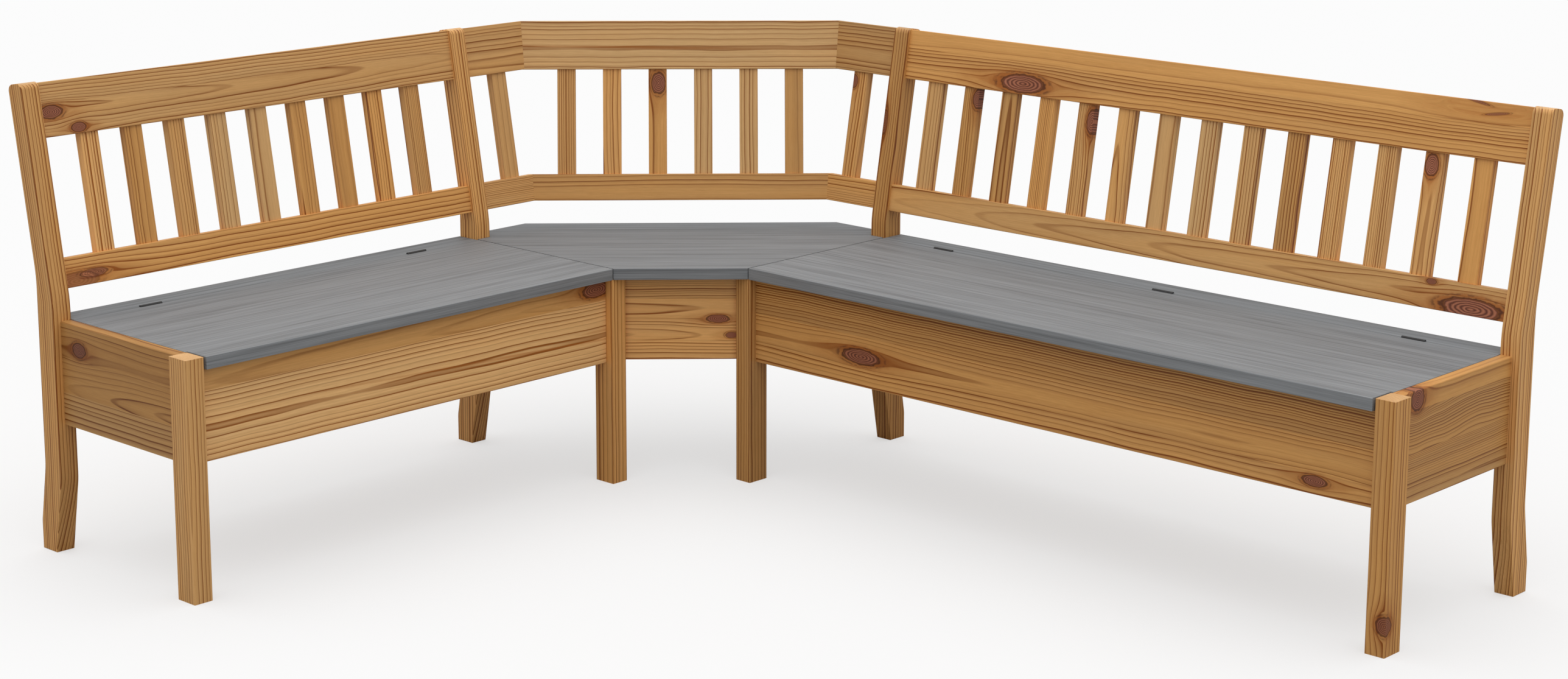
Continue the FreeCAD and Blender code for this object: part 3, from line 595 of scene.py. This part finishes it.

# %% [markdown]
# The front panels are the largest faces. The long wing's is glued from a lower board with a small knot and an upper
# one with a big oval knot. The upper board is listed twice: above 0.362 it is made darker, which is painted shade from
# the seat's overhang, and its late wood is stronger. The short wing's is paler, and a streak of resin runs through it.
# A Board's numbers follow the order of its fields: end, heart, depth, ring, crowd, tilt, wave, strong, warm, light.

# %% Front panels
pine(
    "right_front_panel", right.along, right.forward, right.start,
    [
        Board(0.297, 0.235, 0.010, 0.0120, 0.02, 0.002, 0.003, 1.03, 0.95, 0.83),
        Board(0.362, 0.322, 0.008, 0.0115, 0.085, 0.002, 0.004, 1.15, 1.0, 0.79),
        # The upper board again above 0.362, with the same heart: made darker, which is painted shade from the seat's
        # overhang, and with stronger late wood for the dense dark lines there
        Board(LAST, 0.322, 0.008, 0.0115, 0.085, 0.002, 0.004, 1.6, 1.0, 0.68),
    ],
    [Knot(0.9673, 0.3200, 0.0485, 0.0155), Knot(2.0349, 0.2823, 0.0249, 0.0098)],
    seed=1.0,
)
pine(
    "left_front_panel", left.along, left.forward, left.start,
    [
        Board(0.392, 0.322, 0.012, 0.0135, 0.065, 0.0, 0.003, 0.95, 0.2, 1.06),
        Board(LAST, 0.405, -0.017, 0.0120, 0.025, 0.03, 0.004, 0.65, 0.8, 0.86),
    ],
    [
        Knot(0.7030, 0.4178, 0.0363, 0.0158),
        Knot(0.8830, 0.3175, 0.1900, 0.0016, 0.0, 0.0, 0.041),
        Knot(0.6900, 0.3290, 0.0200, 0.0016, 0.0, 0.0),
    ],
    seed=2.0,
)
pine(
    "corner_front_panel", diagonal.along, diagonal.forward, diagonal.start,
    [
        Board(0.299, 0.240, 0.020, 0.0080, 0.01, 0.0, 0.002, 1.03, 0.7, 1.02),
        Board(0.352, 0.312, 0.012, 0.0080, 0.025, 0.05, 0.003, 1.03, 0.75, 1.02),
        Board(0.388, 0.365, 0.010, 0.0140, 0.025, 0.04, 0.003, 0.8, 0.8, 1.06),
        Board(LAST, 0.330, 0.020, 0.0090, 0.05, 0.0, 0.002, 1.15, 0.7, 0.9),
    ],
    [Knot(0.0767, 0.3444, 0.0228, 0.0083), Knot(0.1057, 0.3094, 0.0127, 0.0064)],
    seed=3.0,
)

# %% [markdown]
# The end panels are glued from narrower boards, and their grain runs from back to front.

# %% End panels
pine(
    "right_end_panel", right.forward, right.along, right.start,
    [
        Board(0.272, 0.220, 0.010, 0.0120, 0.025, 0.0, 0.004, 0.92, 0.6, 0.73),
        Board(0.348, 0.275, 0.006, 0.0090, 0.1, 0.0, 0.003, 1.38, 0.85, 0.71),
        Board(0.424, 0.335, 0.014, 0.0095, 0.065, 0.0, 0.013, 1.38, 0.95, 0.71),
        Board(LAST, 0.432, 0.014, 0.0120, 0.01, 0.0, 0.004, 0.92, 1.0, 0.80),
    ],
    [Knot(0.3743, 0.4441, 0.0205, 0.0205)],
    seed=4.0,
)
pine(
    "left_end_panel", left.forward, left.along, left.start,
    [
        Board(0.322, 0.245, 0.010, 0.0160, 0.09, 0.0, 0.002, 1.15, 0.6, 0.62),
        Board(0.393, 0.336, 0.034, 0.0120, 0.05, -0.06, 0.003, 1.03, 1.0, 0.57),
        Board(LAST, 0.405, 0.010, 0.0130, 0.05, 0.0, 0.004, 1.03, 1.1, 0.57),
    ],
    [Knot(0.1100, 0.4128, 0.0210, 0.0140)],
    seed=5.0,
)

# %% [markdown]
# The rails of the back lean with it, so their "across" is the rise up the lean from the bend of the posts. Three
# pieces are mitred together at the corner. The knots sit in the long top rail and at the ends of the wings.

# %% Rails
pine(
    "right_top_rail", right.along, right.lean_forward, right.bend,
    [
        Board(0.378, 0.265, 0.020, 0.0160, 0.1, 0.002, 0.003, 1.15, 0.95, 0.92),
        Board(LAST, 0.404, 0.008, 0.0130, 0.025, 0.006, 0.003, 1.03, 1.0, 0.95),
    ],
    [
        Knot(0.9947, 0.3336, 0.0560, 0.0185),
        Knot(2.0664, 0.4040, 0.0500, 0.0150, 0.0, 1.4),
        Knot(2.0400, 0.4160, 0.0300, 0.0028, 0.8, 0.0, -0.20),
        Knot(2.0880, 0.3960, 0.0230, 0.0026, 0.7, 0.0, 0.15),
    ],
    side=right.lean_up, seed=6.0,
)
pine(
    "right_lower_rail", right.along, right.lean_forward, right.bend,
    [Board(LAST, 0.048, 0.066, 0.0095, 0.05, -0.03, 0.003, 0.92, 0.6, 0.86)],
    [Knot(2.0896, 0.0349, 0.0615, 0.0193), Knot(2.0022, 0.0736, 0.0101, 0.0056)],
    side=right.lean_up, seed=7.0,
)
pine(
    "left_top_rail", left.along, left.lean_forward, left.bend,
    [
        Board(0.374, 0.362, 0.0525, 0.0085, 0.025, -0.03, 0.003, 1.03, 0.55, 0.86),
        Board(LAST, 0.440, 0.020, 0.0110, 0.1, 0.0, 0.002, 1.26, 0.5, 0.87),
    ],
    [Knot(1.6670, 0.3584, 0.0247, 0.0125), Knot(1.6110, 0.3229, 0.0160, 0.0092)],
    side=left.lean_up, seed=8.0,
)
pine(
    "left_lower_rail", left.along, left.lean_forward, left.bend,
    [Board(LAST, 0.110, 0.020, 0.0103, 0.01, 0.0, 0.003, 1.0, 1.0, 0.98)],
    [Knot(1.6230, 0.0440, 0.0300, 0.0080, 0.8, 0.6), Knot(1.6640, 0.0330, 0.0480, 0.0170, 0.55)],
    side=left.lean_up, seed=9.0,
)
pine(
    "corner_top_rail_middle", diagonal.along, diagonal.lean_forward, diagonal.bend,
    [Board(LAST, 0.357, 0.010, 0.0130, 0.065, 0.0, 0.003, 1.15, 0.1, 0.88)],
    [Knot(-0.2100, 0.3610, 0.1100, 0.0018, 0.0, 0.0, -0.015)],
    side=diagonal.lean_up, seed=10.0,
)
pine(
    "corner_lower_rail_middle", diagonal.along, diagonal.lean_forward, diagonal.bend,
    [Board(LAST, 0.040, 0.030, 0.0110, 0.1, 0.0, 0.003, 0.92, 0.8, 0.82)],
    side=diagonal.lean_up, seed=11.0,
)
short_rails = {
    "corner_top_rail_right": (right, Board(LAST, 0.350, 0.020, 0.0100, 0.05, 0.0, 0.003, 1.26, 0.6, 0.70)),
    "corner_top_rail_left": (left, Board(LAST, 0.335, 0.020, 0.0140, 0.075, 0.0, 0.003, 1.15, 0.55, 0.83)),
    "corner_lower_rail_right": (right, Board(LAST, 0.090, 0.020, 0.0080, 0.05, 0.0, 0.003, 1.15, 0.8, 0.90)),
    "corner_lower_rail_left": (left, Board(LAST, -0.03, 0.020, 0.0080, 0.05, 0.0, 0.003, 1.15, 0.5, 0.90)),
}
for index, (piece, (run, board)) in enumerate(short_rails.items()):
    pine(piece, run.along, run.lean_forward, run.bend, [board], side=run.lean_up, seed=12.0 + index)

# %% [markdown]
# No two slats come from the same board, and that shows: some have fine straight lines, some broad arches, some are
# plain, and four have a knot. One finish serves a whole row, because a slat's number picks its Board.

# %% Slats
right_slats = [
    Board(LAST, -0.025, 0.010, 0.0097, 0.025, 0.0, 0.002, 1.25, 0.4, 0.88),
    Board(LAST, 0.060, 0.010, 0.0084, 0.025, 0.0, 0.003, 1.38, 1.0, 0.76),
    Board(LAST, 0.005, 0.020, 0.0084, 0.025, 0.01, 0.002, 1.38, 0.8, 0.74),
    Board(LAST, 0.080, 0.010, 0.0058, 0.01, 0.0, 0.002, 1.25, 0.9, 0.94),
    Board(LAST, -0.060, 0.010, 0.0061, 0.01, 0.0, 0.004, 1.25, 0.65, 0.91),
    Board(LAST, -0.010, 0.004, 0.0090, 0.025, 0.05, 0.006, 1.62, 0.75, 0.92),
    Board(LAST, 0.000, 0.030, 0.0120, 0.025, 0.0, 0.003, 0.69, 0.2, 0.84),
    Board(LAST, -0.030, 0.010, 0.0090, 0.025, 0.0, 0.002, 1.26, 0.2, 0.93),
    Board(LAST, 0.070, 0.010, 0.0084, 0.015, 0.0, 0.002, 1.5, 0.4, 0.88),
    Board(LAST, -0.070, 0.010, 0.0084, 0.015, 0.0, 0.002, 1.5, 0.95, 0.80),
    Board(LAST, 0.100, 0.010, 0.0055, 0.005, 0.0, 0.001, 1.38, 0.6, 1.0),
    Board(LAST, -0.100, 0.010, 0.0055, 0.005, 0.0, 0.001, 1.38, 0.6, 0.96),
    Board(LAST, 0.000, 0.012, 0.0080, 0.025, 0.02, 0.004, 1.15, 0.7, 1.0),
    Board(LAST, 0.010, 0.040, 0.0110, 0.025, 0.0, 0.003, 0.69, 1.3, 0.97),
]
right_slat_knots = [
    Knot(0.2889, 0.8780, 0.0200, 0.0125),
    Knot(0.2760, 1.1800, 0.0240, 0.0125),
    Knot(0.2867, 1.9666, 0.0210, 0.0135),
]
left_slats = [
    Board(LAST, 0.080, 0.010, 0.0061, 0.01, 0.0, 0.001, 1.38, 0.75, 0.84),
    Board(LAST, 0.040, 0.006, 0.0077, 0.01, 0.0, 0.006, 1.62, 1.1, 0.98),
    Board(LAST, 0.000, 0.050, 0.0100, 0.025, 0.0, 0.003, 0.57, 1.1, 0.84),
    Board(LAST, 0.020, 0.006, 0.0090, 0.025, 0.02, 0.004, 1.38, 1.0, 0.86),
    Board(LAST, -0.010, 0.030, 0.0130, 0.025, 0.0, 0.003, 0.57, 0.2, 0.87),
    Board(LAST, 0.060, 0.010, 0.0110, 0.015, 0.0, 0.002, 1.26, 0.2, 0.89),
    Board(LAST, -0.060, 0.010, 0.0077, 0.015, 0.0, 0.002, 1.12, 0.7, 0.87),
    Board(LAST, -0.020, 0.020, 0.0080, 0.025, 0.01, 0.003, 0.92, 1.2, 0.83),
    Board(LAST, 0.090, 0.010, 0.0074, 0.005, 0.0, 0.001, 1.75, 0.6, 1.10),
]
corner_slats = [
    Board(LAST, 0.080, 0.010, 0.0065, 0.01, 0.0, 0.001, 1.62, 0.7, 0.87),
    Board(LAST, -0.030, 0.008, 0.0084, 0.015, 0.01, 0.005, 1.62, 0.9, 1.02),
    Board(LAST, 0.010, 0.020, 0.0110, 0.025, 0.0, 0.003, 0.8, 1.0, 0.90),
    Board(LAST, 0.000, 0.004, 0.0097, 0.05, 0.0, 0.002, 1.75, 0.2, 0.92),
    Board(LAST, 0.030, 0.010, 0.0090, 0.025, 0.0, 0.002, 1.03, 0.2, 0.88),
    Board(LAST, -0.010, 0.025, 0.0110, 0.025, 0.0, 0.003, 0.8, 0.75, 0.75),
]
slat_rows = {
    "right_slats": (right, (0.7585, 0.101), right_slats, right_slat_knots),
    "left_slats": (left, (0.7919, 0.0994), left_slats, ()),
    "corner_slats": (diagonal, (-0.2505, 0.1002), corner_slats, [Knot(0.2803, -0.0480, 0.0230, 0.0150)]),
}
for index, (piece, (run, row, boards, knots)) in enumerate(slat_rows.items()):
    pine(
        piece, run.lean_up, run.lean_forward, run.bend, boards, knots,
        row=row, side=run.along, seed=20.0 + 5 * index,
    )
pine(
    "corner_slat_right", right.lean_up, right.lean_forward, right.bend,
    [Board(LAST, 0.530, 0.004, 0.0084, 0.025, 0.0, 0.006, 1.62, 0.7, 0.92)],
    [Knot(0.2896, 0.5281, 0.0140, 0.0100)], side=right.along, seed=35.0,
)
pine(
    "corner_slat_left", left.lean_up, left.lean_forward, left.bend,
    [Board(LAST, 0.560, 0.020, 0.0090, 0.025, 0.0, 0.002, 0.92, 0.5, 0.88)], side=left.along, seed=36.0,
)

# %% [markdown]
# Posts and legs are sawn so that both outer faces show strong straight lines: the heart lies off one corner. The
# grain of a post follows its bend.

# %% Posts and legs
post_boards = {
    "right_end_post": Board(LAST, -0.060, 0.030, 0.0068, 0.01, 0.0, 0.002, 1.5, 0.65, 0.94),
    "right_inner_post": Board(LAST, -0.045, 0.020, 0.0077, 0.015, 0.0, 0.003, 1.5, 1.0, 0.73),
    "left_end_post": Board(LAST, 0.060, 0.040, 0.0071, 0.01, 0.0, 0.002, 1.5, 0.8, 0.87),
    "left_inner_post": Board(LAST, 0.070, 0.030, 0.0071, 0.005, 0.0, 0.001, 1.88, 0.7, 0.97),
}
leg_boards = {
    "right_end_leg": Board(LAST, -0.050, 0.050, 0.0084, 0.01, 0.0, 0.002, 1.12, 0.95, 0.82),
    "right_inner_leg": Board(LAST, 0.060, 0.020, 0.0084, 0.01, 0.0, 0.002, 1.25, 0.8, 0.73),
    "left_end_leg": Board(LAST, 0.050, 0.040, 0.0080, 0.015, 0.0, 0.003, 1.15, 0.55, 0.87),
    "left_inner_leg": Board(LAST, -0.050, 0.030, 0.0097, 0.015, 0.0, 0.002, 1.12, 0.85, 0.97),
}
post_knots = {
    "right_inner_post": [Knot(0.7060, 0.6400, 0.0262, 0.0080, 0.7, half_depth=0.03)],
    "right_end_leg": [Knot(0.0570, 2.1990, 0.0170, 0.0170, 0.9, half_depth=0.018)],
}
for index, (piece, board) in enumerate({**post_boards, **leg_boards}.items()):
    run = right if piece.startswith("right") else left
    middle = sum(reach(piece, run.along, run.start)) / 2
    board = board._replace(heart=middle + board.heart)
    pine(
        piece, UP, run.forward, run.start, [board], post_knots.get(piece, ()),
        side=run.along, leaning=piece in post_boards, seed=40.0 + index,
    )

# %% [markdown]
# Boards that are hidden or seldom seen are chosen by chance, from a fixed seed, so that the lesson gives the same
# bench every time.

# %% Back, inner and inside boards
FIRST_WIDTH = 0.07
chance = np.random.default_rng(7)


def any_boards(ends):
    """A board for each glue line, with its numbers drawn at random.

    A piece without glue lines is cut far from the heart, so its rings are straight and don't get narrower.
    """
    boards = []
    for end in (*ends, LAST):
        lowest = boards[-1].end if boards else end - FIRST_WIDTH
        boards.append(
            Board(
                end=end,
                heart=lowest + chance.uniform(-0.04, 0.08),
                depth=chance.uniform(0.004, 0.03),
                ring=chance.uniform(0.008, 0.014),
                crowd=chance.uniform(0.02, 0.07) * bool(ends),
                tilt=0.0,
                wave=0.004,
                strong=chance.uniform(0.8, 1.3),
                warm=chance.uniform(0.2, 0.9),
                light=chance.uniform(0.85, 1.0),
            )
        )
    return boards


for index, (name, run) in enumerate({"left": left, "right": right}.items()):
    seed = 60.0 + 10 * index
    hidden = [
        ("back_panel", run.along, -run.forward, (0.315, 0.368, 0.412), UP),
        ("inner_panel", run.forward, -run.along, (0.330, 0.395), UP),
        ("floor", run.along, UP, (0.15, 0.25, 0.34), run.forward),
        ("floor_battens", run.along, UP, (0.2,), run.forward),
        ("strip_cleat", run.along, UP, (), run.forward),
        ("lid_battens", run.forward, -UP, (), run.along),
    ]
    for step, (part, grain, face, ends, side) in enumerate(hidden):
        pine(f"{name}_{part}", grain, face, run.start, any_boards(ends), side=side, seed=seed + step)
for index, (piece, run) in enumerate({"corner_seat_cleats": diagonal, "panel_dowels": right}.items()):
    pine(piece, run.along, UP, run.start, any_boards(()), side=run.forward, seed=80.0 + index)

# %% [markdown]
# The seat is pine too, under a thin neutral grey stain. The stain hides the colour of the rings, and what is left
# is the brushed grain: long fine streaks, a little darker and lighter, and slow bands.

# %% Stained seat boards
STAIN_LIGHT = (0.335, 0.350, 0.363, 1)
STAIN_DARK = (0.118, 0.124, 0.130, 1)
STAIN_MIDDLE = 0.45         # from light to dark
FINE_WAVES = (9, 1000, 1000)
BRUSH_WAVES = (2.8, 240, 240)
LINE_WAVES = (0.8, 70, 70)
BAND_WAVES = (1.5, 14, 14)
BRUSH_ROUGHNESS = 0.65
THIN_LINE_IN = (0.86, 1.0)

# How much each kind of streak darkens the stain, and how deep it is brushed in
FINE_DARKENS, BRUSH_DARKENS, BAND_DARKENS, LINE_DARKENS = 0.42, 0.58, 0.14, 0.2
FINE_SINKS, BRUSH_SINKS, LINE_SINKS = 0.5, 0.5, 0.4
MATT, FINE_ROUGHENS = 0.56, 0.08
STAIN_SHINE = 0.3
STAIN_RELIEF = 0.0002       # metres


def stained(piece, run, seed, light=1.0):
    """Pine under a thin grey stain, streaked along the grain."""
    finish = Finish("stain_" + piece)
    spot = Spot(*(finish.distance(direction, run.start) for direction in (run.along, run.forward, UP)))
    fine = finish.field(spot, FINE_WAVES, (0.0, 0.0, seed), 2.0, FINE_ROUGHNESS)
    brush = finish.field(spot, BRUSH_WAVES, (0.0, 0.0, seed), 3.0, BRUSH_ROUGHNESS)
    line = finish.field(spot, LINE_WAVES, (seed, 0.0, 0.0))
    band = finish.field(spot, BAND_WAVES, (seed, 0.0, 0.0), 2.0)
    thin_line = finish.rise(1 - finish.maths("ABSOLUTE", line), *THIN_LINE_IN)
    tone = STAIN_MIDDLE + fine * FINE_DARKENS + brush * BRUSH_DARKENS + band * BAND_DARKENS + thin_line * LINE_DARKENS
    colour = finish.scaled(finish.blend(tone, STAIN_LIGHT, STAIN_DARK), light)
    height = 0 - fine * FINE_SINKS - brush * BRUSH_SINKS - thin_line * LINE_SINKS
    fixed = {"Specular IOR Level": STAIN_SHINE}
    dress(piece, finish.surface(colour, MATT + fine * FINE_ROUGHENS, height, STAIN_RELIEF, fixed))


for index, (name, run) in enumerate({"left": left, "right": right}.items()):
    stained(f"{name}_lid", run, 4.0 + index)
    stained(f"{name}_rear_strip", run, 14.0 + index, 0.96)
stained("corner_seat", diagonal, 3.0, 0.95)

# %% [markdown]
# The hinges are black steel, and the screws are zinc plated. Metal from the mill has faint marks in one direction,
# so its noise is stretched upwards.

# %% Hinges and screws
MARK_WAVES = (900, 900, 120)
MARKS_ROUGHEN = 0.08
METAL_RELIEF = 0.00005      # metres


def metal(name, dark, bright, roughness, metallic):
    """Metal with faint rolling marks."""
    finish = Finish(name)
    spot = Spot(*(finish.distance(direction, right.start) for direction in (right.along, right.forward, UP)))
    marks = finish.field(spot, MARK_WAVES, detail=2.0)
    colour = finish.blend(marks * 0.5 + 0.5, dark, bright)
    roughness = roughness + marks * MARKS_ROUGHEN
    return finish.surface(colour, roughness, marks, METAL_RELIEF, {"Metallic": metallic})


black = metal("black_hinge", (0.012, 0.012, 0.013, 1), (0.03, 0.03, 0.03, 1), 0.42, 0.0)
zinc = metal("zinc_screw", (0.45, 0.44, 0.40, 1), (0.66, 0.64, 0.58, 1), 0.35, 1.0)
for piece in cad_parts:
    if "screws" in piece:
        dress(piece, zinc)
    if "leaves" in piece or "pins" in piece:
        dress(piece, black)
bare = [name for name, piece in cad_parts.items() if not piece.data.materials]
print("pieces without a finish:", bare)

# %% [markdown]
# The studio is a sheet of white paper under a soft sky that is brightest straight above. The paper is lit from
# below as on a light table, which keeps the shadow faint, and it throws back little light on the bench, as when
# black cloths stand round it: otherwise the wood would lose the shade under the seat.

# %% Studio floor
FLOOR_HALF = 40.0
corners = np.array([(-1, -1, 0), (1, -1, 0), (1, 1, 0), (-1, 1, 0)]) * FLOOR_HALF
floor_mesh = bpy.data.meshes.new("studio_floor")
floor_mesh.from_pydata(corners.tolist(), [], [(0, 1, 2, 3)])
floor = bpy.data.objects.new("studio_floor", floor_mesh)
bpy.context.scene.collection.objects.link(floor)

FLOOR_SEEN = (0.86, 0.86, 0.86, 1)
FLOOR_BOUNCE = (0.36, 0.36, 0.36, 1)
FLOOR_GLOW = (0.96, 0.96, 0.96, 1)
LIT_SHARE = 0.6
paper = bpy.data.materials.new("studio_paper")
paper.use_nodes = True
sheet = Nodes(paper.node_tree)
seen = sheet.node("ShaderNodeLightPath", output="Is Camera Ray")
bright_paper = sheet.node("ShaderNodeBsdfDiffuse", inputs={"Color": FLOOR_SEEN})
lit_paper = sheet.node("ShaderNodeEmission", inputs={"Color": FLOOR_GLOW})
seen_paper = sheet.node("ShaderNodeMixShader", inputs={0: LIT_SHARE, 1: bright_paper, 2: lit_paper})
dim_paper = sheet.node("ShaderNodeBsdfDiffuse", inputs={"Color": FLOOR_BOUNCE})
both = sheet.node("ShaderNodeMixShader", inputs={0: seen, 1: dim_paper, 2: seen_paper})
sheet.node("ShaderNodeOutputMaterial", inputs={"Surface": both})
floor_mesh.materials.append(paper)
print("floor:", 2 * FLOOR_HALF, "m wide")

# %% [markdown]
# The sky gives all the light. It is dim at the horizon and grows with the square of the height to the top, like a
# large soft box overhead, so upright faces are shaded and the seat is bright. The camera itself sees plain white.

# %% Sky
SKY_LOW = 0.48      # strength at the horizon
SKY_TOP = 1.92      # what the top adds to it
SKY_SEEN = 0.98

world = bpy.data.worlds.new("studio_light")
world.use_nodes = True
bpy.context.scene.world = world
sky = Nodes(world.node_tree)
direction = sky.node("ShaderNodeTexCoord", output="Generated")
height = sky.node("ShaderNodeSeparateXYZ", inputs={0: direction}, output=2)
light = height * height * SKY_TOP + SKY_LOW
seen = sky.node("ShaderNodeLightPath", output="Is Camera Ray")
strength = sky.node("ShaderNodeMix", inputs={MIX_FACTOR: seen, NUMBER_FIRST: light, NUMBER_SECOND: SKY_SEEN})
background = sky.node("ShaderNodeBackground", inputs={"Strength": strength})
sky.node("ShaderNodeOutputWorld", inputs={0: background})
bpy.context.scene.view_settings.view_transform = "Standard"
print("light from", SKY_LOW, "at the horizon to", round(SKY_LOW + SKY_TOP, 2), "overhead")

# %% [markdown]
# The camera stands where the photograph was taken from: nearly 45 degrees to both wings, a little above the back,
# looking slightly down. The small shift moves the picture without turning the camera, so that uprights stay as they
# are.

# %% Camera
WIDE = 2576             # pixels
CAMERA_PLACE = crossing + Vector((4.672, -4.650, 1.746))
YAW = math.radians(43.02)
PITCH = math.radians(11.46)
ROLL = math.radians(-0.16)
FOCAL_PIXELS = 4720
MIDDLE_PIXEL = 1292.8
PICTURE_SHIFT = -0.08   # in picture widths
SENSOR = 36             # millimetres
FAR = 200

camera_data = bpy.data.cameras.new("camera")
camera_data.sensor_width = SENSOR
camera_data.lens = FOCAL_PIXELS * SENSOR / WIDE
camera_data.shift_x = (WIDE / 2 - MIDDLE_PIXEL) / WIDE
camera_data.shift_y = PICTURE_SHIFT
camera_data.clip_end = FAR
camera = bpy.data.objects.new("camera", camera_data)
camera.location = CAMERA_PLACE
camera.rotation_euler = (math.pi / 2 - PITCH, ROLL, YAW)
camera.rotation_mode = "XYZ"
bpy.context.scene.collection.objects.link(camera)
bpy.context.scene.camera = camera
print("camera at", [round(value, 3) for value in CAMERA_PLACE], "lens", round(camera_data.lens, 1), "mm")

# %% [markdown]
# The finishes changed no shape, so the bench's box is the one from the start.
